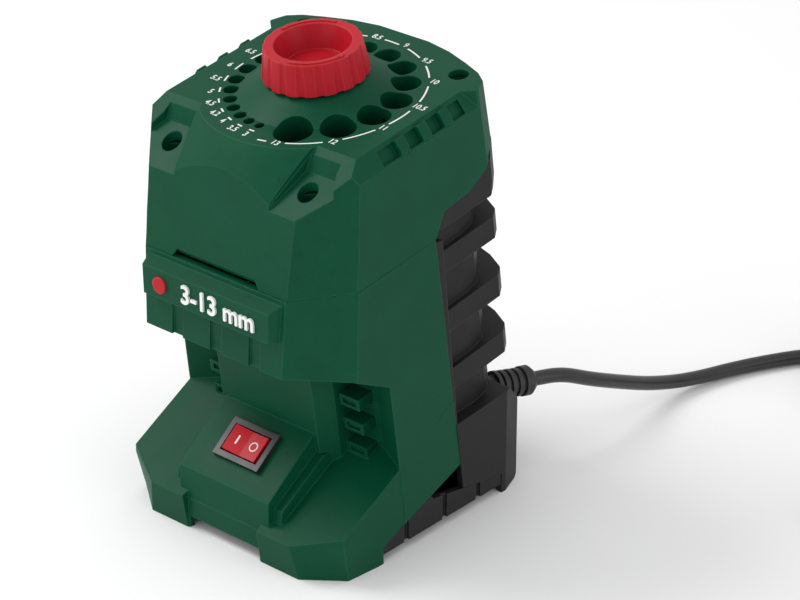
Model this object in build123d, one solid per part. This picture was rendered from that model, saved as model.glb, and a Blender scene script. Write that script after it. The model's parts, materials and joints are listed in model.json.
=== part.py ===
from build123d import *
import math
import os

# Bench drill-bit sharpener.  Millimetres, +Z up, front towards -Y.
# Origin: bottom centre of the housing, knob axis crossing y = 0 on the top plate.

TILT = 7.76            # top plate and motor axis lean towards the front, degrees
ZTOP = 153.7           # height of the top plate at the knob axis
WALL = 2.5             # moulded shell thickness
ROW_Y = -1.478         # brings the middle of the housing, front to back, onto the row's origin
SEAM = -42.3           # seam of the cover, along the tilted axis
SPLIT = -1.8           # plane between front and rear housing
HOLE_R = 29.3          # pitch radius of the drill guides on the top plate
LEAN = 14.0            # lean of the guides towards the wheel, degrees
GUIDES = [(13, -63.8), (12, -34.8), (11, -9.1), (10.5, 13.8), (10, 37.1), (9.5, 58.3),
          (9, 79.3), (8.5, 99.3), (8, 118.3), (7.5, 136.3), (7, 153.5), (6.5, 170.0),
          (6, 186.0), (5.5, 201.0), (5, 214.6), (4.5, 227.5), (4.2, 239.4), (4, 251.0),
          (3.5, 261.5), (3, 271.3)]
GUIDE_PLAY = 0.4       # guide bore is this much wider than the drill
WHEEL_R = 27.0         # grinding wheel outer radius
MOTOR_R = 23.0         # motor can radius
CORD_D = 5.4           # mains lead
COIL_C = (134.0, 198.0)
COIL_R = 30.0          # middle of the turns

os.makedirs("parts", exist_ok=True)
S, C = math.sin(math.radians(TILT)), math.cos(math.radians(TILT))
TP = Plane(origin=(0, 0, ZTOP), x_dir=(1, 0, 0), z_dir=(0, -S, C))


def T(shape):
    return shape.moved(TP.location)


def up(p):
    u, v, w = p
    return (u, v * C - w * S, ZTOP + v * S + w * C)


def prism(pts, z0, z1):
    """Prism of an XY polygon from z0 to z1."""
    f = make_face(Polyline(*pts, close=True))
    return extrude(Pos(0, 0, z0) * f, z1 - z0)


def side(pts, x0, x1):
    """Prism of a (y, z) polygon from x0 to x1."""
    pl = Plane(origin=(x0, 0, 0), x_dir=(0, 1, 0), z_dir=(1, 0, 0))
    f = make_face(Polyline(*[pl.from_local_coords((a, b, 0)) for a, b in pts], close=True))
    return extrude(f, x1 - x0, dir=(1, 0, 0))


def both(pts):
    return pts + [(-x, y) for x, y in reversed(pts)]


def loft2(p0, z0, p1, z1):
    w0 = Wire(Polyline(*[(x, y, z0) for x, y in p0], close=True).edges())
    w1 = Wire(Polyline(*[(x, y, z1) for x, y in p1], close=True).edges())
    return Solid.make_loft([w0, w1], ruled=True)


def cyl(r, z0, z1, x=0, y=0):
    return Pos(x, y, (z0 + z1) / 2) * Cylinder(r, z1 - z0)


def save(name, shape):
    solids = [q.moved(Location((0, ROW_Y, 0))) for q in shape.solids()]
    if len(solids) == 1:
        shape = solids[0]
    else:
        shape = Compound(children=list(solids))
    shape.label = name
    export_step(shape, f"parts/{name}.step")
    return shape


def mir(s):
    return s + mirror(s, about=Plane.YZ)


# ------------------------------------------------------------------ top cover (tilted frame)
def plan(o, k):
    """Cover outline: k = 0 at the top plate, 1 at the seam, o = inward offset."""
    a = lambda p, q: p + (q - p) * k
    pts = [(a(33.4, 32.0) - .41 * o, a(-45.6, -57.1) + o),
           (a(46.4, 48.2) - o, a(-31.1, -40.4) + .41 * o),
           (a(46.4, 48.2) - o, 27.5 - .1 * o),
           (a(44.3, 46.2) - .9 * o, a(32.4, 33.2) - .5 * o),
           (a(39.5, 41.5) - .7 * o, a(35.8, 36.8) - .8 * o),
           (31.5 - .3 * o, a(38.9, 39.9) - .9 * o),
           (21.5 - .2 * o, a(42.1, 43.1) - o),
           (11.0 - .1 * o, a(43.9, 44.9) - o)]
    return both(pts)


def cover_body(o):
    p0 = plan(o, 0)
    p1 = plan(o, 44 / 42)
    b = loft2(p1, -44, p0, -o)
    if o:
        b += prism(p1, -60, -44)
    cut = Pos(0, o * .45, -o * 1.15)
    # fan-shaped slope in front of the ring
    fan = Solid.make_cone(40.2, 40.2 + 30, 30).mirror(Plane.XY)
    keep = fan + cyl(90, -80, -30)
    front = Box(70, 60, 60, align=(Align.CENTER, Align.MAX, Align.MIN)).moved(Location((0, -24, -30)))
    ear_in = [(25.9, -20), (25.9, -28.8), (21.0, -50), (19, -64)]
    mid = prism(both(ear_in), -40, 40)
    b -= cut * ((front - keep) & mid)
    # facets and pockets over the two front screws
    f1 = side([(-28.8, 0), (-62, -22.8), (-62, 10), (-28.8, 10)], 0, 60)
    f1 = f1 & prism([(25.9, -24), (25.9, -28.8), (21.0, -50), (19, -64), (60, -64), (60, -24)], -30, 20)
    pk = side([(-31.4, -1.8), (-34.1, -7.0), (-49.8, -15.3), (-64, -22.8), (-64, 10), (-31.4, 10)], 0, 60)
    pk = pk & prism([(25.4, -31.4), (38.2, -31.4), (38.6, -34.5), (41.0, -39.5), (41.0, -64),
                     (19.0, -64), (21.3, -49.8)], -30, 20)
    b -= cut * mir(f1 + pk)
    # side bevels
    bev = loft2([(42.3 - o, -70), (70, -70), (70, 22.7 + 27.7), (42.3 - o, 22.7)], 0,
                [(42.3 - o, -70), (70, -70), (70, 22.7 + 27.7), (42.3 - o, 22.7)], 10)
    wedge = prism([(42.3 - o * .9, .01), (46.9 - o * .9, -6.8), (60, -26.1), (60, 12), (42.3 - o * .9, 12)], -70, 60)
    wedge = Rot(90, 0, 0) * wedge      # (x, z) profile swept along y
    reg = prism([(30, -80), (80, -80), (80, 60), (46.9, 26.9), (42.3, 22.7), (30, 11)], -40, 20)
    b -= mir(wedge & reg)
    return b


under = side([(-80, -90), (80, -90), (80, -21.8), (34, -21.8), (26.5, -29.5), (17.6, -33.6),
              (3.9, -34.5), (SPLIT + .4, SEAM), (-80, SEAM)], -80, 80)
outer = cover_body(0)
inner = cover_body(WALL)
inner = inner - cyl(38.6, -19.5, 2) + cyl(17.5, -19.5, -2.6)
top_cover = outer - inner
# ring that carries the drill guides, and the raised centre
top_cover += (cyl(38.5, -19, -.2) & outer) - Pos(0, 0, -19) * Solid.make_cone(15.5, 20.5, 16.6)
top_cover += Solid.make_cone(27.5, 17.0, 5.2)
top_cover -= Pos(0, 0, -3) * Solid.make_cone(20.5, 14.4, 5.2)
top_cover -= cyl(11.0, -10, 20)
for a in (90, 270):
    top_cover -= Rot(0, 0, a) * (prism([(9, -3.6), (14.2, -5.2), (14.2, 5.2), (9, 3.6)], -10, 20))
for d, a in GUIDES:
    bore = Rot(0, 0, a) * Pos(HOLE_R, 0, 0) * Rot(0, LEAN, 0) * cyl((d + GUIDE_PLAY) / 2, -60, 20)
    top_cover -= bore
# four screw holes from the top and their bosses
SCREWS = [(30.6, -40.1, -10.1), (34.6, 31.5, 0.0)]
for x, y, z in SCREWS:
    boss = cyl(5.2, -39, z - 3, x, y) & outer
    top_cover += mir(boss)
    top_cover -= mir(cyl(1.9, -60, 20, x, y) + cyl(3.6, -14 if z > -5 else -20, 20, x, y))
# bevel recess with three ribs on each side
BP = Plane(origin=(44.6, 0, -3.4), x_dir=(0, 1, 0), z_dir=(0.829, 0, 0.561))
rec = Pos(.1, -.2, 0) * Box(40.6, 5.4, 3.0)
ribs = Part() + [Pos(v, -.2, -.1) * Box(4.0, 5.6, 3.2) for v in (-10.2, .6, 11.3)]
ribs = ribs & Pos(0, -.4, -.6) * Rot(10, 0, 0) * Box(60, 6.4, 4.4)
top_cover -= mir(rec.moved(BP.location) & Pos(0, 0, 0) * Box(200, 200, 40))
top_cover += mir(ribs.moved(BP.location))
# lifting slot at the seam
top_cover -= prism([(-17.6, 0), (17.6, 0), (19.8, -3), (-19.8, -3)], 0, 4.0).moved(
    Location((0, -54.6, -39.4), (90, 0, 0)))
top_cover -= under
top_cover_w = T(top_cover)
save("top_cover", top_cover_w)

# ------------------------------------------------------------------ lower housings
base0 = [(34.7, -50.5), (48.2, -40.1), (49.7, -26.6), (50.0, 20), (50.0, 60)]
base1 = [(32.2, -52.9), (49.3, -43.4), (49.4, -26.6), (49.4, 20), (49.4, 60)]


def ins(pts, o):
    return [(x - o * (.5 if i == 0 else 1), y + (o if i < 1 else o * .4 if i < 3 else 0)) for i, (x, y) in enumerate(pts)]


def front_outer(o):
    e = 20 if o else 0
    up0 = [(30.6 - .41 * o, -53.9 + o), (49.05 - o, -36.6 + .41 * o), (49.05 - o, 60)]
    up1 = [(32.5 - .41 * o, -49.9 + o), (48.05 - o, -33.0 + .41 * o), (48.05 - o, 60)]
    u = loft2(both(up0), 60, both(up1), 125)
    u -= side([(-80, 76 + o), (-50, 76 + o), (-36.3, 74.3 + o), (-20.2, 66.2 + o), (-14, 62 + o), (80, 20), (-80, 20)], -80, 80)
    wp = [(22 - .4 * o, -41.6 + o), (26.3 - .8 * o, -35.5 + .4 * o), (26.6 - o, -26.5 + o), (38, -26.5 + o),
          (49.6 - o, -31.75 + o), (49.6 - o, 60)]
    w = T(prism(both(wp), -160 - e, -66 + (8 if o else 0)))
    w &= loft2(both([(50 - o, -80), (50 - o, 90)]), -e, both([(48.3 - o, -80), (48.3 - o, 90)]), 110)
    b = loft2(both(ins(base0, o)), -.0, both(ins(base1, o)), 15.0) + prism(both(ins(base1, o)), 15, 60)
    if o:
        b += prism(both(ins(base0, o)), -10, 0)
    b -= side([(-80, 13.3 - o * 1.1 - .53 * 27.8), (60, 13.3 - o * 1.1 + .53 * 112.2), (60, 120), (-80, 120)], -80, 80)
    k = side([(-26.0, 41.5 - o * 1.2), (-46.3 + o * .3, 26.3 - o * 1.2), (-49.8 + o, 23.6 - o * 1.2), (-50.2 + o, 3 - e),
              (0, 3 - e), (0, 41.5 - o * 1.2)], -20.8 + o, 20.8 - o)
    k2 = side([(-26.0, 33.5 - o), (-46.8 + o, 20.5 - o), (-49.4 + o, 3 - e), (0, 3 - e), (0, 33.5 - o)], -24.4 + o, 24.4 - o)
    return u + w + b + k + k2


fo = front_outer(0)
fi = front_outer(WALL)
# front skirt set back between the feet
fo -= prism([(-18.7, -60), (18.7, -60), (17.2, -50.0), (-17.2, -50.0)], -5, 22)
fo -= Box(33, 60, 9, align=(Align.CENTER, Align.MAX, Align.CENTER)).moved(Location((0, -44, 0)))
# raised band under the seam
band = loft2([(-30.4, 88.4), (30.4, 88.4), (30.6, 102.6), (-30.6, 102.6)], 50.0,
             [(-28.4, 89.6), (28.4, 89.6), (28.6, 100.2), (-28.6, 100.2)], 56.2)
band = Rot(90, 0, 0) * band
fo += band
# slots in the lip under the band
for x in (-16.5, 1.0, 18.6):
    fo -= Pos(x, -53.6, 80) * Box(5.0, 3.6, 16)
rearcut = T(Box(200, 200, 400, align=(Align.CENTER, Align.MIN, Align.CENTER)).moved(Location((0, SPLIT, 0))))
topcut = T(Box(300, 300, 100, align=(Align.CENTER, Align.CENTER, Align.MIN)).moved(Location((0, 0, SEAM - .15))))
diag = side([(-24, -5), (-24, 6.4), (15.9, 21.3), (30, 26.6), (30, -5)], -60, 60)
front = fo - fi - rearcut - topcut - diag
# open ledge where the cover's slot is
# tabs in the side recesses
tabs = Part()
for v, w in ((-33.8, -93.4), (-33.2, -103.6), (-32.6, -113.9)):
    t = prism([(27.0, v), (35.8, v), (35.8, -25.8), (25.2, -25.8), (25.2, -31.0)], w - 4.4, w)
    t -= Box(6.0, 2.4, 2.0).moved(Location((31.3, v, w - 2.2)))
    tabs += t
front += T(mir(tabs))
# switch opening, square to its sloping panel
PN = (0, -math.sin(math.radians(37.3)), math.cos(math.radians(37.3)))
SP = Plane(origin=(0, -37.45, 33.05), x_dir=(1, 0, 0), z_dir=PN)
front -= Box(19.2, 13.0, 24).moved(SP.location)
# posts under the cover's front screws, the motor shelf and the base screws
posts = Part()
for sx in (1, -1):
    posts += T(cyl(4.6, -70, SEAM - .15, sx * 30.6, -40.1) + Pos(sx * 30.6, -49, -57) * Box(2.2, 18, 26)
               - cyl(1.5, -60, 0, sx * 30.6, -40.1))
    posts += cyl(4.2, 6.3, 30, sx * 38, -33) & front_outer(.5)
posts -= mir(cyl(1.5, -10, 18, 38, -33))
front += (posts & fo)
front -= topcut
save("front_housing", front)

# ---- rear housing, square to the motor axis
def rp(o, fin):
    if fin:
        return both([(46.8 - o, -20), (46.8 - o, 29.0 - o), (43.8 - o, 33.6 - o), (36, 37.8 - o), (24, 41.4 - o), (12, 43.6 - o)])
    return both([(44.6 - o, -20), (44.6 - o, 14.0), (43.4 - o, 21.5 - o * .5), (38.6 - o * .8, 28.3 - o * .8), (30 - .4 * o, 33.2 - o), (18, 36.6 - o), (8, 37.9 - o)])


def rear_outer(o):
    r = prism(rp(o, 0), -165 if o else -160, -22 + (10 if o else 0))
    if not o:
        for wt in (-49.9, -73.3, -96.5):
            r += prism(rp(0, 1), wt - 8.4, wt)
        lip = loft2(rp(0, 1), -41.5, [(x * 1.008, y * 1.02) for x, y in rp(0, 1)], -36)
        lip += prism([(x * 1.008, y * 1.02) for x, y in rp(0, 1)], -36, -21)
        r += lip
    s = prism(both([(47.9 - o, -30), (47.9 - o, 6.2)]), -40, 41)
    r = T(r)
    edge = loft2(both([(50 - o, -10), (50 - o, 17.5)]), 8, both([(48.2 - o, -10), (48.2 - o, 7.6)]), 110)
    r += edge
    # flared foot
    flare = side([(-10, 0 - (10 if o else 0)), (50 - o, 0 - (10 if o else 0)), (52.9 - o, 2.6), (56.9 - o, 14), (56.6 - o, 20.9), (51.1 - o, 32.2 - o),
                  (43.6, 40 - o), (-10, 36 - o)], -51, 51)
    flare &= prism(both([(49.8 - o, -20), (49.8 - o, 41), (46.0 - o, 51.5 - o), (38, 57.2 - o)]), -20, 60)
    r += flare
    return r


ro = rear_outer(0)
ri = rear_outer(WALL)
ri += T(prism(both([(43.9, -20), (43.9, 28), (36, 34.2), (24, 38.0), (10, 40.5)]), -40, 10))
frontcut = T(Box(200, 200, 400, align=(Align.CENTER, Align.MAX, Align.CENTER)).moved(Location((0, SPLIT + .15, 0))))
coverzone = T(side([(-80, SEAM - .15), (SPLIT + .4, SEAM - .15), (3.8, -34.65), (17.6, -33.75), (26.6, -29.7), (34.1, -21.95), (80, -21.95),
                    (80, 40), (-80, 40)], -80, 80))
lowcut = side([(-80, -10), (-80, 25.5), (-10, 11.6), (3.4, 16.4), (2.3, 14.0), (38.9, 7.6), (38.9, -10)], -60, 60)
rear = ro - ri - frontcut - coverzone - lowcut
# cooling slots between the fins
for wt in (-44.5, -67.5, -90.8):
    for x in (-20, -10, 0, 10, 20):
        rear -= T(Pos(x, 38, wt) * Box(4.5, 14, 6))
# posts for the cover's rear screws and the base screws
rpost = Part()
for sx in (1, -1):
    rpost += T(cyl(4.0, -60.8, -39.4, sx * 34.6, 25.5) & prism(rp(.6, 0), -62, -39.4))
    rpost += (cyl(4.2, 6.3, 34, sx * 40, 35.5) + Pos(sx * 45, 35.5, 21) * Box(8, 2.2, 21)) & rear_outer(.6)
rpost -= mir(cyl(1.5, -10, 20, 40, 35.5))
rear += rpost
rear -= coverzone
RB = Vector(33.5, 53.0, 31.0)
RD = Vector(0.30, 0.94, -0.10).normalized()
RPL = Plane(origin=RB, x_dir=Vector(RD.Y, -RD.X, 0).normalized(), z_dir=RD)
rear -= (cyl(5.2, -16, -3) + cyl(4.15, -4, 1) + cyl(5.75, -.05, 30)).moved(RPL.location)
rear -= Pos(0, 0, -50) * Box(300, 300, 100)
save("rear_housing", rear)

# ---- base tray
bp = side([(-23.8, 3.5), (38.4, 3.5), (38.4, 7.4), (2.2, 13.7), (.9, 15.3), (-23.8, 6.2)], -49.6, 49.6)
bp -= side([(-30, 6.0), (60, 6.0), (60, 30), (-30, 30)], -47, 47)
bp += prism(both([(31.0, -46.0), (44.9, -37.4), (46.0, -24), (46.6, -23), (46.6, 38.4)]), 3.5, 6.2)
for y in (-12, 8, 26):
    bp -= mir(Pos(49.6, y, 6) * Box(2.2, 2.6, 30))
bp -= mir(cyl(1.9, 0, 10, 38, -33) + cyl(1.9, 0, 10, 40, 35.5) + cyl(3.35, 0, 5.35, 38, -33) + cyl(3.35, 0, 5.35, 40, 35.5))
bp -= Part() + [Pos(0, y, 4.75) * Box(40, 3.2, 6) for y in (-4, 4, 12, 20)]
save("base_plate", bp)

screw = lambda r, h, l: cyl(r, -h, 0) + cyl(1.45, -l, -h + .01) - Box(r * 1.1, .8, 1.6) - Box(.8, r * 1.1, 1.6)
cs = Part()
for x, y, z in SCREWS:
    top = -20 if z < -5 else -14
    for sx in (1, -1):
        if z < -5:
            cs += Pos(sx * x, y, top + 2.2) * screw(3.3, 2.2, 30)
        else:
            cs += Pos(sx * x, y, top + 2.2) * screw(3.3, 2.2, 22)
save("cover_screws", T(cs))
bs = Part()
for x, y in ((38, -33), (40, 35.5)):
    for sx in (1, -1):
        bs += Pos(sx * x, y, 3.5) * Rot(180, 0, 0) * screw(3.2, 1.8, 12)
save("base_screws", bs)

# ---- knob: quarter-turn cap with a finger bowl
kn = Pos(0, 0, 6.2) * Solid.make_cone(18.2, 16.6, 10.8)
for i in range(17):
    a = i * 360 / 17
    kn -= Rot(0, 0, a) * Pos(19.6, 0, 11) * Rot(0, -7, 0) * Cylinder(2.6, 16)
kn -= Pos(0, 0, 9.0) * Solid.make_cone(10.2, 13.2, 8.01)
kn += cyl(10.6, -5.4, 6.3)
kn -= cyl(8.2, -6, 6.6)
for a in (0, 180):
    kn += Rot(0, 0, a) * prism([(9.6, -3.4), (13.6, -4.8), (13.6, 4.8), (9.6, 3.4)], -5.4, -3.4)
kn = T(kn)
save("lock_knob", kn)

# ---- rocker switch
sw = Pos(0, 0, .9) * Box(21, 15, 1.8) + Pos(0, 0, -9) * Box(18.8, 12.6, 18.2)
sw -= Pos(0, 0, 0) * Box(16.8, 10.6, 14)
sw += Pos(0, 0, -6.5) * Box(16.9, 10.7, 1.0)
save("switch_body", sw.moved(SP.location))
term = Part()
for x in (-5, 5):
    for y in (-2.8, 2.8):
        term += Pos(x, y, -21.6) * Box(.8, 4.0, 7.0)
save("switch_terminals", term.moved(SP.location))
PIV = -2.6
rk = prism([(-7.3, 0.6), (-7.2, 2.9), (0, 1.5), (7.2, 1.9), (7.3, -.4), (4.5, -3.2), (-4.5, -3.2)], -4.9, 4.9)
rk = Rot(90, 0, 0) * rk
save("rocker", rk.moved(SP.location))

# ---- spindle (tilted axis), motor
ax = lambda s: T(s)
save("motor_shaft", ax(cyl(3.0, -127, -19)))
save("wheel_flange", ax(cyl(11, -46.5, -43.2) + cyl(5.0, -52, -46.5) - cyl(3.02, -60, -40)))
wh = cyl(WHEEL_R, -43.0, -36.2) + Pos(0, 0, -36.2) * Solid.make_cone(WHEEL_R, 13.6, 13.4)
wh -= cyl(3.03, -50, -10) + cyl(9.0, -29.5, -10)
save("grinding_wheel", ax(wh))
nut = extrude(RegularPolygon(radius=5.6, side_count=6), 4).moved(Location((0, 0, -27.9))) + cyl(8.0, -29.4, -27.9)
save("wheel_nut", ax(nut - cyl(3.02, -40, 0)))
save("motor_can", ax((cyl(MOTOR_R, -118, -62) - cyl(MOTOR_R - 1.6, -119, -64) - cyl(6.5, -70, -50))
                     - (Part() + [cyl(1.55, -70, -50, x, 0) for x in (-14, 14)])))
save("motor_end_cap", ax(cyl(MOTOR_R, -122.5, -118.1) + cyl(MOTOR_R - 1.8, -118.2, -114) - cyl(MOTOR_R - 4, -118.5, -113)
                         - cyl(6.5, -130, -110)))
mag = (cyl(21.2, -106, -72) - cyl(18.0, -107, -71)) & (prism([(-10, -30), (10, -30), (10, 30), (-10, 30)], -110, -70))
save("magnets", ax(mag))
arm = cyl(17.4, -104, -74)
for i in range(9):
    arm -= Rot(0, 0, i * 40) * Pos(15.8, 0, -89) * Box(5, 2.2, 40)
arm -= cyl(3.02, -110, -70)
save("armature", ax(arm))
win = (cyl(12.5, -72, -68.5) + cyl(12.5, -107.5, -104.1)) - cyl(3.02, -110, -60)
save("windings", ax(win))
save("commutator", ax(cyl(7.5, -112.8, -108) - cyl(3.02, -120, -100)))
save("bearings", ax((cyl(6.45, -66.5, -62.2) - cyl(3.05, -70, -60)) + (cyl(6.45, -122.3, -118.3) - cyl(3.05, -130, -110))))
br = Part() + [Pos(sx * 11.4, 0, -110.4) * Box(7.4, 4.2, 4.2) for sx in (-1, 1)]
save("brushes", ax(br))
fan = cyl(5, -60.6, -53.5) + cyl(20, -55.0, -53.5)
for i in range(8):
    fan += Rot(0, 0, i * 45) * Pos(12, 0, -57.2) * Box(15, 1.2, 4.6)
fan -= cyl(3.02, -70, -40)
save("cooling_fan", ax(fan))
mm = prism(both([(18, -37), (26, -31), (40, -24), (41.6, 10), (37, 22), (20, 30)]), -61.95, -61.0)
mm -= cyl(6.5, -70, -50) + cyl(1.6, -70, -50, -14, 0) + cyl(1.6, -70, -50, 14, 0)
save("motor_plate", ax(mm))
save("motor_screws", ax(Part() + [cyl(2.7, -61.0, -60.9 + .3, x, 0) + cyl(1.5, -65, -60.9, x, 0) for x in (-14, 14)]))

# ---- strain relief and mains lead
rel = cyl(5.0, -8, -3) + cyl(4.0, -3.2, .2)
rel += cyl(5.6, 0, 1.4)
for i, z in enumerate((2.6, 5.6, 8.6)):
    rel += cyl(5.4 - .1 * i, z, z + 1.7)
rel += cyl(4.3, 1.0, 12) + Pos(0, 0, 11.6) * Cylinder(5.5, 3.0, align=(Align.CENTER, Align.CENTER, Align.MIN))
rel += Pos(0, 0, 14.6) * Solid.make_cone(5.5, 4.0, 1.8)
rel -= cyl(CORD_D / 2 + .0, -9, 17)
save("strain_relief", rel.moved(RPL.location))
E0 = RB + RD * 16.4
save("cord_clamp", (Pos(0, CORD_D / 2 + 1.55, -13) * Box(12, 3, 7)).moved(RPL.location))

inl = RPL.location * cyl(CORD_D / 2, -20, 16.4)
save("cord_inlet", inl)


def tube(pts, tag):
    pts = [Vector(*p) for p in pts]
    rad = []
    for i in range(1, len(pts) - 1):
        a, b = pts[i] - pts[i - 1], pts[i + 1] - pts[i]
        ang = math.radians(a.get_angle(b))
        rad.append(.45 * min(a.length, b.length) / math.tan(ang / 2))
    print(tag, "runs", [round((q - p).length, 1) for p, q in zip(pts, pts[1:])], "radii", [round(r, 1) for r in rad])
    path = FilletPolyline(*pts, radius=rad)
    pl = Plane(origin=pts[0], z_dir=(pts[1] - pts[0]).normalized())
    t = sweep(pl * Circle(CORD_D / 2), path=path)
    print(tag, "length", round(path.length, 1), "volume ratio", round(t.volume / (math.pi * CORD_D ** 2 / 4 * path.length), 4))
    return t, path.length


RUN = [tuple(E0), tuple(E0 + RD * 13), (46.2, 92.5, 22.5), (48.6, 108.5, 15.5), (50.5, 126, 8.2), (54.5, 145, 3.4), (62, 168, 2.75),
       (75.5, 192, 2.75), (95.5, 212.5, 2.75), (118, 226.5, 3.3), (134.0, 230.7, 3.9)]
run, l1 = tube(RUN, "run")
coil = cyl(COIL_R + 6.0, 1.2, 23.6, *COIL_C) - cyl(COIL_R - 6.0, -1, 30, *COIL_C)
coil = fillet(coil.edges(), 2.5)
save("cord_coil", coil)
TAIL = [(166.6, 206.0, 20.7), (167.2, 192.0, 19.2), (166.4, 177.0, 14.4), (164.2, 163.0, 9.0), (162.2, 151.0, 7.1), (161.8, 140.5, 7.0)]
tail, l2 = tube(TAIL, "tail")
big = lambda q: max(q.solids(), key=lambda k: k.volume)
save("power_cord", big(run - coil))
save("cord_tail", big(tail - coil))
tie = (Box(16.0, 8, 25.0) - Pos(0, 0, -.05) * Box(13.4, 10, 23.1)).moved(Location((COIL_C[0] - COIL_R, COIL_C[1], 12.5)))
save("coil_tie", tie)
DX = Vector(161.8 - 162.2, 140.5 - 151.0, -.1).normalized()
PG = Plane(origin=(161.8, 140.5, 7.0), x_dir=(-DX.Y, DX.X, 0), z_dir=DX)
plug = cyl(4.6, 0, 7) + Pos(0, 0, 18.5) * Box(26, 13.4, 22)
plug = fillet((Pos(0, 0, 18.5) * Box(26, 13.4, 23)).edges().filter_by(Axis.Z), 5) + cyl(4.6, 0, 8)
save("plug_body", plug.moved(PG.location))
pins = Part() + [cyl(2.0, 30.0, 49, x, 0) for x in (-9.5, 9.5)]
save("plug_pins", pins.moved(PG.location))
print("done")
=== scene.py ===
import bpy, bmesh, json, math
from mathutils import Vector, Matrix

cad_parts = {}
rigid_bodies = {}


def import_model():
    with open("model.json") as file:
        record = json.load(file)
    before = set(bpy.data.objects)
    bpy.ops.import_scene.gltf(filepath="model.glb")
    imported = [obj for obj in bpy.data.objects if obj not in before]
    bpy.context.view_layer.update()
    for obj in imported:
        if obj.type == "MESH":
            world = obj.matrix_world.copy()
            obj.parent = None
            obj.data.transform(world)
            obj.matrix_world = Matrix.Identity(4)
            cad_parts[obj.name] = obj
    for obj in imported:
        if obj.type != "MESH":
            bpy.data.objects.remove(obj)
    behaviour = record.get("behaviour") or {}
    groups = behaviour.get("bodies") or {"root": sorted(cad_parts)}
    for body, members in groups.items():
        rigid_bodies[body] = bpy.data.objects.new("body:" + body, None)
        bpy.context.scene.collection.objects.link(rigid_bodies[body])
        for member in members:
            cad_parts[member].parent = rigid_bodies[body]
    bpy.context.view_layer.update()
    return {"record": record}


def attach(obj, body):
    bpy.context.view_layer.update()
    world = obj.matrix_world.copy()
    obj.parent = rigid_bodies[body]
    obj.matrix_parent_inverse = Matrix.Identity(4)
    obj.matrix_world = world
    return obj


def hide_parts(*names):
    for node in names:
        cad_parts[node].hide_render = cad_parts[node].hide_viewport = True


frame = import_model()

MM = 0.001
TILT = math.radians(7.76)
S, C = math.sin(TILT), math.cos(TILT)
ZTOP = 153.7
ROW_Y = -1.478   # middle of the housing, front to back, on the row's origin


def up(u, v, w):
    """A point of the tilted top-plate frame (mm) in the row frame (m)."""
    return Vector((u, v * C - w * S + ROW_Y, ZTOP + v * S + w * C)) * MM


TM = Matrix(((MM, 0, 0, 0), (0, MM * C, -MM * S, ROW_Y * MM), (0, MM * S, MM * C, ZTOP * MM), (0, 0, 0, 1)))

# ------------------------------------------------------------------ camera
cam_d = bpy.data.cameras.new("view_camera")
cam_d.lens = 137.5
cam_d.sensor_width = 36
cam_d.clip_start = 0.05
cam_d.clip_end = 20
cam = bpy.data.objects.new("view_camera", cam_d)
bpy.context.scene.collection.objects.link(cam)
AZ, EL = math.radians(41.12), math.radians(27.04)
fwd = Vector((-math.sin(AZ) * math.cos(EL), math.cos(AZ) * math.cos(EL), -math.sin(EL)))
right = Vector((math.cos(AZ), math.sin(AZ), 0))
upv = right.cross(fwd)
m = Matrix((right, upv, -fwd)).transposed().to_4x4()
m.translation = Vector((0.63458, -0.68559 + ROW_Y * MM, 0.55120))
cam.matrix_world = m
bpy.context.scene.camera = cam
bpy.context.scene.view_settings.view_transform = "Standard"

# ------------------------------------------------------------------ material kit


def nodes_of(name):
    mat = bpy.data.materials.new(name)
    mat.use_nodes = True
    nt = mat.node_tree
    b = next(n for n in nt.nodes if n.type == "BSDF_PRINCIPLED")
    return mat, nt, b


def add(nt, kind, **vals):
    n = nt.nodes.new(kind)
    for k, v in vals.items():
        setattr(n, k, v)
    return n


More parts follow.
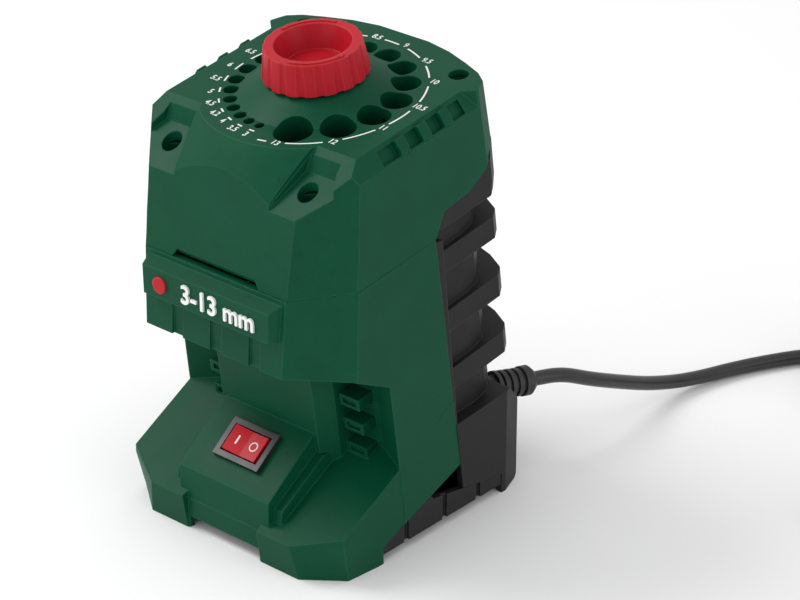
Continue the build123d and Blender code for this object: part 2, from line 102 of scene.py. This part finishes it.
def material(name, col, col2, rough, rough2, grain=2600.0, bump=0.10, bump_mm=0.05, mottle=90.0,
             metal=0.0, edge=0.0005, coat=0.0, spec=0.5, painted_edge_highlight=None, stretch=None, sheen=0.0):
    """Two-tone procedural finish: mottled colour, grained bump, rounded edges with an optional painted highlight line
    along them.
    """
    mat, nt, b = nodes_of(name)
    tc = add(nt, "ShaderNodeTexCoord")
    src = tc.outputs["Object"]
    if stretch:
        mp = add(nt, "ShaderNodeMapping")
        mp.inputs["Scale"].default_value = stretch
        nt.links.new(src, mp.inputs["Vector"])
        src = mp.outputs["Vector"]
    n1 = add(nt, "ShaderNodeTexNoise")
    n1.inputs["Scale"].default_value = mottle
    n1.inputs["Detail"].default_value = 5
    nt.links.new(src, n1.inputs["Vector"])
    r1 = add(nt, "ShaderNodeValToRGB")
    r1.color_ramp.elements[0].position = 0.30
    r1.color_ramp.elements[1].position = 0.72
    r1.color_ramp.elements[0].color = (*col, 1)
    r1.color_ramp.elements[1].color = (*col2, 1)
    nt.links.new(n1.outputs["Fac"], r1.inputs["Fac"])
    n2 = add(nt, "ShaderNodeTexNoise")
    n2.inputs["Scale"].default_value = grain
    n2.inputs["Detail"].default_value = 3
    nt.links.new(src, n2.inputs["Vector"])
    colour = r1.outputs["Color"]
    # the grain shows as a fine speckle too
    mix = add(nt, "ShaderNodeMixRGB", blend_type="MULTIPLY")
    mix.inputs["Fac"].default_value = 0.35
    rr = add(nt, "ShaderNodeValToRGB")
    rr.color_ramp.elements[0].position = 0.35
    rr.color_ramp.elements[1].position = 0.65
    rr.color_ramp.elements[0].color = (0.72, 0.72, 0.72, 1)
    rr.color_ramp.elements[1].color = (1, 1, 1, 1)
    nt.links.new(n2.outputs["Fac"], rr.inputs["Fac"])
    nt.links.new(colour, mix.inputs["Color1"])
    nt.links.new(rr.outputs["Color"], mix.inputs["Color2"])
    colour = mix.outputs["Color"]
    mr = add(nt, "ShaderNodeMapRange")
    mr.inputs["From Min"].default_value = 0.3
    mr.inputs["From Max"].default_value = 0.7
    mr.inputs["To Min"].default_value = rough
    mr.inputs["To Max"].default_value = rough2
    nt.links.new(n1.outputs["Fac"], mr.inputs["Value"])
    nt.links.new(mr.outputs["Result"], b.inputs["Roughness"])
    bev = add(nt, "ShaderNodeBevel")
    bev.samples = 4
    bev.inputs["Radius"].default_value = edge
    bp = add(nt, "ShaderNodeBump")
    bp.inputs["Strength"].default_value = bump
    bp.inputs["Distance"].default_value = bump_mm * MM
    nt.links.new(n2.outputs["Fac"], bp.inputs["Height"])
    nt.links.new(bev.outputs["Normal"], bp.inputs["Normal"])
    nt.links.new(bp.outputs["Normal"], b.inputs["Normal"])
    if painted_edge_highlight:
        # painted highlight: a paler line where the bevelled normal leaves the true one
        geo = add(nt, "ShaderNodeNewGeometry")
        dot = add(nt, "ShaderNodeVectorMath", operation="DOT_PRODUCT")
        nt.links.new(bev.outputs["Normal"], dot.inputs[0])
        nt.links.new(geo.outputs["Normal"], dot.inputs[1])
        edge_highlight_ramp = add(nt, "ShaderNodeMapRange")
        edge_highlight_ramp.inputs["From Min"].default_value = 0.995
        edge_highlight_ramp.inputs["From Max"].default_value = 0.90
        edge_highlight_ramp.inputs["To Min"].default_value = 0.0
        edge_highlight_ramp.inputs["To Max"].default_value = 0.55
        nt.links.new(dot.outputs["Value"], edge_highlight_ramp.inputs["Value"])
        edge_highlight_mix = add(nt, "ShaderNodeMixRGB")
        edge_highlight_mix.inputs["Color2"].default_value = (*painted_edge_highlight, 1)
        nt.links.new(edge_highlight_ramp.outputs["Result"], edge_highlight_mix.inputs["Fac"])
        nt.links.new(colour, edge_highlight_mix.inputs["Color1"])
        colour = edge_highlight_mix.outputs["Color"]
    nt.links.new(colour, b.inputs["Base Color"])
    b.inputs["Metallic"].default_value = metal
    b.inputs["Specular IOR Level"].default_value = spec
    b.inputs["Coat Weight"].default_value = coat
    if sheen:
        b.inputs["Sheen Weight"].default_value = sheen
    return mat


# the pale edge colours passed to some finishes below are painted highlights along their edges
M = {
    "green": material("green_moulded_plastic", (0.0004, 0.058, 0.026), (0.0010, 0.068, 0.031), 0.42, 0.50,
                      grain=2300, bump=0.34, bump_mm=0.07, edge=0.0006, painted_edge_highlight=(0.020, 0.16, 0.085), spec=0.12),
    "black": material("black_moulded_plastic", (0.014, 0.014, 0.0145), (0.020, 0.020, 0.021), 0.46, 0.56,
                      grain=2300, bump=0.30, bump_mm=0.07, edge=0.0006, painted_edge_highlight=(0.07, 0.07, 0.072), spec=0.16),
    "bezel": material("switch_frame_plastic", (0.010, 0.010, 0.011), (0.016, 0.016, 0.017), 0.36, 0.44,
                      grain=3200, bump=0.12, edge=0.0003),
    "red": material("red_cap_plastic", (0.40, 0.005, 0.014), (0.47, 0.008, 0.019), 0.36, 0.44,
                    grain=2600, bump=0.16, bump_mm=0.05, edge=0.0006, painted_edge_highlight=(0.66, 0.07, 0.07), spec=0.18),
    "rocker_red": material("red_rocker_plastic", (0.46, 0.004, 0.012), (0.54, 0.006, 0.018), 0.38, 0.44,
                           grain=3000, bump=0.05, edge=0.0004, spec=0.25),
    "zinc": material("zinc_plated_steel", (0.52, 0.52, 0.50), (0.62, 0.61, 0.58), 0.28, 0.42, metal=1.0,
                     grain=1500, bump=0.08, edge=0.0002, stretch=(1, 1, 5)),
    "steel": material("turned_steel", (0.48, 0.48, 0.49), (0.60, 0.60, 0.61), 0.25, 0.38, metal=1.0,
                      grain=900, bump=0.10, edge=0.0002, stretch=(1, 1, 8)),
    "alu": material("rolled_aluminium", (0.60, 0.60, 0.61), (0.72, 0.72, 0.73), 0.30, 0.42, metal=1.0,
                    grain=1200, bump=0.08, edge=0.0002, stretch=(6, 1, 1)),
    "brass": material("bare_brass", (0.52, 0.34, 0.13), (0.66, 0.46, 0.20), 0.26, 0.36, metal=1.0,
                      grain=1500, bump=0.06, edge=0.0002),
    "copper": material("lacquered_copper_wire", (0.46, 0.15, 0.06), (0.60, 0.23, 0.10), 0.26, 0.34, metal=1.0,
                       grain=1100, bump=0.5, bump_mm=0.2, edge=0.0003, stretch=(1, 1, 7)),
    "ferrite": material("sintered_ferrite", (0.045, 0.045, 0.047), (0.075, 0.075, 0.078), 0.55, 0.70,
                        grain=2600, bump=0.3, edge=0.0003),
    "abrasive": material("pink_abrasive", (0.42, 0.20, 0.18), (0.66, 0.42, 0.38), 0.85, 0.95,
                         grain=1900, bump=0.9, bump_mm=0.25, edge=0.0005, mottle=900),
    "rubber": material("strain_relief_rubber", (0.014, 0.014, 0.0145), (0.021, 0.021, 0.022), 0.48, 0.58,
                       grain=2600, bump=0.18, edge=0.0004, painted_edge_highlight=(0.07, 0.07, 0.07)),
    "cable": material("cable_sheath", (0.011, 0.011, 0.0115), (0.018, 0.018, 0.019), 0.30, 0.40,
                      grain=1400, bump=0.10, edge=0.0003, sheen=0.05),
    "pin": material("nickel_pin", (0.66, 0.65, 0.61), (0.78, 0.77, 0.72), 0.16, 0.24, metal=1.0,
                    grain=1300, bump=0.05, edge=0.0002),
}
white = material("white_print", (0.72, 0.74, 0.72), (0.86, 0.87, 0.85), 0.45, 0.60, grain=3600, bump=0.12, edge=0.0001)
relief_white = material("white_relief", (0.78, 0.79, 0.78), (0.88, 0.89, 0.88), 0.35, 0.45, grain=2600, bump=0.1,
                        edge=0.0002)

for s in frame["record"]["subparts"]:
    o = bpy.data.objects[s["node"]]
    mt = M[s["material_slot"]]
    if o.material_slots:
        for k in o.material_slots:
            k.material = mt
    else:
        o.data.materials.append(mt)

# ------------------------------------------------------------------ mains lead
# the tube's route in the housing and over the bench, then the wound turns, then the tail
RD = Vector((0.30, 0.94, -0.10)).normalized()
RB = Vector((33.5, 53.0, 31.0))
E0 = RB + RD * 16.4
route = [RB - RD * 20, RB - RD * 3, E0, E0 + RD * 13, (46.2, 92.5, 22.5), (48.6, 108.5, 15.5), (50.5, 126, 8.2),
         (54.5, 145, 3.6), (62, 168, 2.8), (75.5, 192, 2.8), (95.5, 212.5, 2.85), (116, 225.5, 3.3)]
CX, CY = 134.0, 198.0
cells = [(32.9, 4.0), (27.2, 4.0), (27.2, 9.6), (32.9, 9.6), (32.9, 15.2), (27.2, 15.2), (27.2, 20.8), (32.9, 20.8)]
STEPS = 16
TURNS = 7
for k in range(TURNS * STEPS + 5):
    t = k / STEPS
    i = min(int(t), len(cells) - 1)
    j = min(i + 1, len(cells) - 1)
    f = max(0.0, (t - i - 0.70) / 0.30)
    f = f * f * (3 - 2 * f) if f < 1 else 1
    rr_ = cells[i][0] * (1 - f) + cells[j][0] * f
    zz = cells[i][1] * (1 - f) + cells[j][1] * f
    a = math.radians(90) - 2 * math.pi * t
    # control points stand a little outside the line they pull
    rc = rr_ / (0.5 + 0.5 * math.cos(math.pi * 2 / STEPS)) if k else rr_
    route.append((CX + rc * math.cos(a), CY + rc * math.sin(a), zz))
route += [(167.2, 192.0, 19.2), (166.4, 177.0, 14.4), (164.2, 163.0, 9.0), (162.2, 151.0, 7.1), (161.8, 140.5, 7.0),
          (161.6, 135.5, 7.0)]
route = [(q[0], q[1] + ROW_Y, q[2]) for q in route]
cu = bpy.data.curves.new("mains_lead", "CURVE")
cu.dimensions = "3D"
sp = cu.splines.new("NURBS")
sp.points.add(len(route) - 1)
for p, q in zip(sp.points, route):
    p.co = (q[0] * MM, q[1] * MM, q[2] * MM, 1)
sp.order_u = 3
sp.use_endpoint_u = True
sp.resolution_u = 6
cu.bevel_depth = 0.0027
cu.bevel_resolution = 6
cu.use_fill_caps = True
lead = bpy.data.objects.new("mains_lead", cu)
bpy.context.scene.collection.objects.link(lead)
cu.materials.append(M["cable"])
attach(lead, "housing")
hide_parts("cord_inlet", "power_cord", "cord_coil", "cord_tail")


def curve_length(o):
    d = cu.bevel_depth
    cu.bevel_depth = 0
    me = bpy.data.meshes.new_from_object(o)
    cu.bevel_depth = d
    v = [x.co.copy() for x in me.vertices]
    n = sum((b - a).length for a, b in zip(v, v[1:]))
    bpy.data.meshes.remove(me)
    return n


LEN = curve_length(lead)
print("lead length", round(LEN, 4))

# ------------------------------------------------------------------ printed scale


def mesh_obj(name, verts, faces, mat, body):
    me = bpy.data.meshes.new(name)
    me.from_pydata(verts, [], faces)
    me.update()
    o = bpy.data.objects.new(name, me)
    bpy.context.scene.collection.objects.link(o)
    me.materials.append(mat)
    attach(o, body)
    return o


def text_faces(txt, size, width=1.0, shear=0.0, thick=0.0):
    """A text as a flat mesh centred on the origin, in millimetres."""
    c = bpy.data.curves.new("t", "FONT")
    c.body = txt
    c.size = size
    c.align_x = "CENTER"
    c.align_y = "CENTER"
    c.shear = shear
    c.offset = thick
    o = bpy.data.objects.new("t", c)
    bpy.context.scene.collection.objects.link(o)
    me = bpy.data.meshes.new_from_object(o)
    vs = [(v.co.x * width, v.co.y, v.co.z) for v in me.vertices]
    fs = [tuple(p.vertices) for p in me.polygons]
    bpy.data.objects.remove(o)
    bpy.data.curves.remove(c)
    bpy.data.meshes.remove(me)
    return vs, fs


def solidify(vs, fs, h):
    """Closed raised shape: top at +h, walls down to 0."""
    bm = bmesh.new()
    bv = [bm.verts.new((x, y, 0)) for x, y, z in vs]
    for f in fs:
        try:
            bm.faces.new([bv[i] for i in f])
        except ValueError:
            pass
    bmesh.ops.remove_doubles(bm, verts=bm.verts, dist=1e-4)
    bmesh.ops.recalc_face_normals(bm, faces=bm.faces)
    for f in bm.faces:
        if f.normal.z < 0:
            f.normal_flip()
    ext = bmesh.ops.extrude_face_region(bm, geom=list(bm.faces))
    up_v = [g for g in ext["geom"] if isinstance(g, bmesh.types.BMVert)]
    for v in up_v:
        v.co.z += h
    bmesh.ops.recalc_face_normals(bm, faces=bm.faces)
    bm.verts.index_update()
    out_v = [tuple(v.co) for v in bm.verts]
    out_f = [tuple(v.index for v in f.verts) for f in bm.faces]
    bm.free()
    return out_v, out_f


def join(parts):
    V, F = [], []
    for vs, fs in parts:
        k = len(V)
        V += vs
        F += [tuple(i + k for i in f) for f in fs]
    return V, F


def put(vs, mat):
    return [tuple(mat @ Vector(v)) for v in vs]


def arc_strip(r, a0, a1, w, h=0.06, z=0.02):
    n = max(3, int(abs(a1 - a0) / 3) + 1)
    V = []
    for i in range(n + 1):
        a = math.radians(a0 + (a1 - a0) * i / n)
        for rad, zz in ((r - w / 2, z), (r + w / 2, z), (r + w / 2, z + h), (r - w / 2, z + h)):
            V.append((rad * math.cos(a), rad * math.sin(a), zz))
    F = [(0, 3, 2, 1), (4 * n, 4 * n + 1, 4 * n + 2, 4 * n + 3)]
    for i in range(n):
        b = 4 * i
        for q in range(4):
            F.append((b + q, b + (q + 1) % 4, b + 4 + (q + 1) % 4, b + 4 + q))
    return V, F


HOLES = {"13": -63.8, "12": -34.8, "11": -9.1, "10.5": 13.8, "10": 37.1, "9.5": 58.3, "9": 79.3, "8.5": 99.3,
         "8": 118.3, "7.5": 136.3, "7": 153.5, "6.5": 170.0, "6": 186.0, "5.5": 201.0, "5": 214.6, "4.5": 227.5,
         "4.2": 239.4, "4": 251.0, "3.5": 261.5, "3": 271.3}
R1, R2 = 37.0, 32.9
parts = []
lab = {"13": (-69.6, 37.2), "12": (-40.5, 37.4), "11": (-13.5, 37.6), "10.5": (11.5, 38.6), "10": (37.0, 38.8),
       "9.5": (59.5, 38.4), "9": (80.5, 38.2), "8.5": (99.5, 37.6), "8": (118.3, 37.4), "7.5": (136.3, 37.6),
       "7": (153.5, 37.6), "6.5": (170.0, 37.4), "6": (186.5, 36.6), "5.5": (201.8, 36.6), "5": (216.0, 36.0),
       "4.5": (228.6, 36.0), "4.2": (240.6, 35.9), "4": (250.6, 35.6), "3.5": (261.2, 35.9), "3": (271.0, 35.9)}
for n, (a, r) in lab.items():
    vs, fs = text_faces(n, 3.7, width=0.86, thick=0.06)
    vs, fs = solidify(vs, fs, 0.06)
    a = math.radians(a)
    parts.append((put(vs, Matrix.Translation((r * math.cos(a), r * math.sin(a), 0.02))), fs))
cuts = [("13", -69.6, 5.0), ("12", -40.5, 5.0), ("11", -13.5, 4.2), ("10.5", 11.5, 5.0), ("10", 37.0, 4.6), ("9.5", 59.5, 5.0),
        ("9", 80.5, 3.6), ("8.5", 99.5, 5.4), ("8", 118.3, 4.0), ("7.5", 136.3, 5.0), ("7", 153.5, 4.0)]
for (n0, a0, h0), (n1, a1, h1) in zip(cuts, cuts[1:]):
    parts.append(arc_strip(R1, a0 + h0, a1 - h1, 0.62))
parts.append(arc_strip(R1, -80.0, -74.8, 0.62))
for n, half in (("6.5", 5.6), ("6", 4.0), ("5.5", 3.2), ("5", 2.6), ("4.5", 2.4), ("4.2", 2.2), ("4", 2.0), ("3.5", 1.9), ("3", 1.9)):
    parts.append(arc_strip(R2 + .2, HOLES[n] - half, HOLES[n] + half, 0.62))
V, F = join(parts)
mesh_obj("size_scale_print", put(V, TM), F, white, "housing")

# ------------------------------------------------------------------ raised marking on the front band
band = Matrix(((MM, 0, 0, 0), (0, 0, -MM, -0.0562 + ROW_Y * MM), (0, MM, 0, 0.0949), (0, 0, 0, 1)))
vs, fs = text_faces("3-13 mm", 9.4, width=0.98, thick=0.16)
vs, fs = solidify(vs, fs, 0.9)
V = put(vs, Matrix.Translation((6.2, 0, -0.1)))
lettering = mesh_obj("range_lettering", put(V, band), fs, relief_white, "housing")
n = 40
V = [(3.0 * math.cos(2 * math.pi * i / n), 3.0 * math.sin(2 * math.pi * i / n), 0) for i in range(n)]
Vs = [(x, y, -0.1) for x, y, _ in V] + [(x, y, 0.65) for x, y, _ in V] + [(x * .86, y * .86, 0.9) for x, y, _ in V]
Fd = [tuple(range(n - 1, -1, -1)), tuple(range(2 * n, 3 * n))]
for r in (0, 1):
    for i in range(n):
        j = (i + 1) % n
        Fd.append((r * n + i, r * n + j, (r + 1) * n + j, (r + 1) * n + i))
mesh_obj("red_dot", put([(x - 20.5, y, z) for x, y, z in Vs], band), Fd, M["red"], "housing")

# ------------------------------------------------------------------ marks on the rocker and the cap
PA = math.radians(37.3)
SC = Vector((0, -37.45 + ROW_Y, 33.05)) * MM
SPM = Matrix(((MM, 0, 0, 0), (0, MM * math.cos(PA), -MM * math.sin(PA), SC.y), (0, MM * math.sin(PA), MM * math.cos(PA), SC.z), (0, 0, 0, 1)))
# left half of the rocker falls from 2.9 to 1.5, the right half rises from 1.5 to 1.9
la = math.atan2(1.5 - 2.9, 7.2)
ra = math.atan2(1.9 - 1.5, 7.2)
bar = [(-.35, -1.7, 0), (.35, -1.7, 0), (.35, 1.7, 0), (-.35, 1.7, 0)]
vs, fs = solidify(bar, [(0, 1, 2, 3)], 0.05)
Lm = SPM @ Matrix.Translation((-3.6, 0, 2.2 + .03)) @ Matrix.Rotation(-la, 4, "Y")
mesh_obj("mark_on", put(vs, Lm), fs, white, "rocker")
rv, rf = [], []
for i in range(36):
    a = 2 * math.pi * i / 36
    for r, z in ((1.35, 0), (1.8, 0), (1.8, .05), (1.35, .05)):
        rv.append((r * math.cos(a), r * math.sin(a), z))
for i in range(36):
    b, c = 4 * i, 4 * ((i + 1) % 36)
    for q in range(4):
        rf.append((b + q, b + (q + 1) % 4, c + (q + 1) % 4, c + q))
Rm = SPM @ Matrix.Translation((3.6, 0, 1.7 + .03)) @ Matrix.Rotation(-ra, 4, "Y")
mesh_obj("mark_off", put(rv, Rm), rf, white, "rocker")
# raised arc arrows on the cap's rim
parts = [arc_strip(14.9, 100, 168, 0.7, h=.35, z=16.95), arc_strip(14.9, -80, -12, 0.7, h=.35, z=16.95)]
for a0 in (168, -12):
    a = math.radians(a0)
    c0 = Vector((14.9 * math.cos(a), 14.9 * math.sin(a), 0))
    t = Vector((-math.sin(a), math.cos(a), 0))
    nrm = Vector((math.cos(a), math.sin(a), 0))
    p = [c0 + nrm * 1.1, c0 - nrm * 1.1, c0 + t * 2.2]
    vs, fs = solidify([tuple(q) for q in p], [(0, 1, 2)], .35)
    parts.append((put(vs, Matrix.Translation((0, 0, 16.95))), fs))
V, F = join(parts)
mesh_obj("cap_arrows", put(V, TM), F, M["red"], "cap")

# ------------------------------------------------------------------ stage and light
fl = bpy.data.meshes.new("floor")
fl.from_pydata([(-6, -6, 0), (6, -6, 0), (6, 6, 0), (-6, 6, 0)], [], [(0, 1, 2, 3)])
floor = bpy.data.objects.new("floor", fl)
bpy.context.scene.collection.objects.link(floor)
fm, nt, b = nodes_of("studio_floor")
nz = add(nt, "ShaderNodeTexNoise")
nz.inputs["Scale"].default_value = 3
cr = add(nt, "ShaderNodeValToRGB")
cr.color_ramp.elements[0].color = (0.90, 0.90, 0.90, 1)
cr.color_ramp.elements[1].color = (0.93, 0.93, 0.93, 1)
nt.links.new(nz.outputs["Fac"], cr.inputs["Fac"])
nt.links.new(cr.outputs["Color"], b.inputs["Base Color"])
b.inputs["Roughness"].default_value = 0.9
b.inputs["Specular IOR Level"].default_value = 0.1
fl.materials.append(fm)


def area(name, loc, target, size, power, colour=(1, 1, 1)):
    d = bpy.data.lights.new(name, "AREA")
    d.shape = "RECTANGLE"
    d.size, d.size_y = size
    d.energy = power
    d.color = colour
    o = bpy.data.objects.new(name, d)
    bpy.context.scene.collection.objects.link(o)
    o.location = loc
    o.rotation_euler = (Vector(target) - Vector(loc)).to_track_quat("-Z", "Y").to_euler()
    return o


area("key_left", (-0.78, -0.34, 1.05), (0, 0, 0.09), (0.55, 0.55), 8)
area("front_fill", (-0.2, -1.5, 0.5), (0, 0, 0.08), (1.2, 0.8), 3.5)
area("right_side", (1.5, 0.1, 0.5), (0, 0, 0.1), (0.9, 0.9), 4)
w = bpy.data.worlds.new("studio")
bpy.context.scene.world = w
w.use_nodes = True
bg = next(n for n in w.node_tree.nodes if n.type == "BACKGROUND")
bg.inputs["Color"].default_value = (1, 1, 1, 1)
bg.inputs["Strength"].default_value = 0.80

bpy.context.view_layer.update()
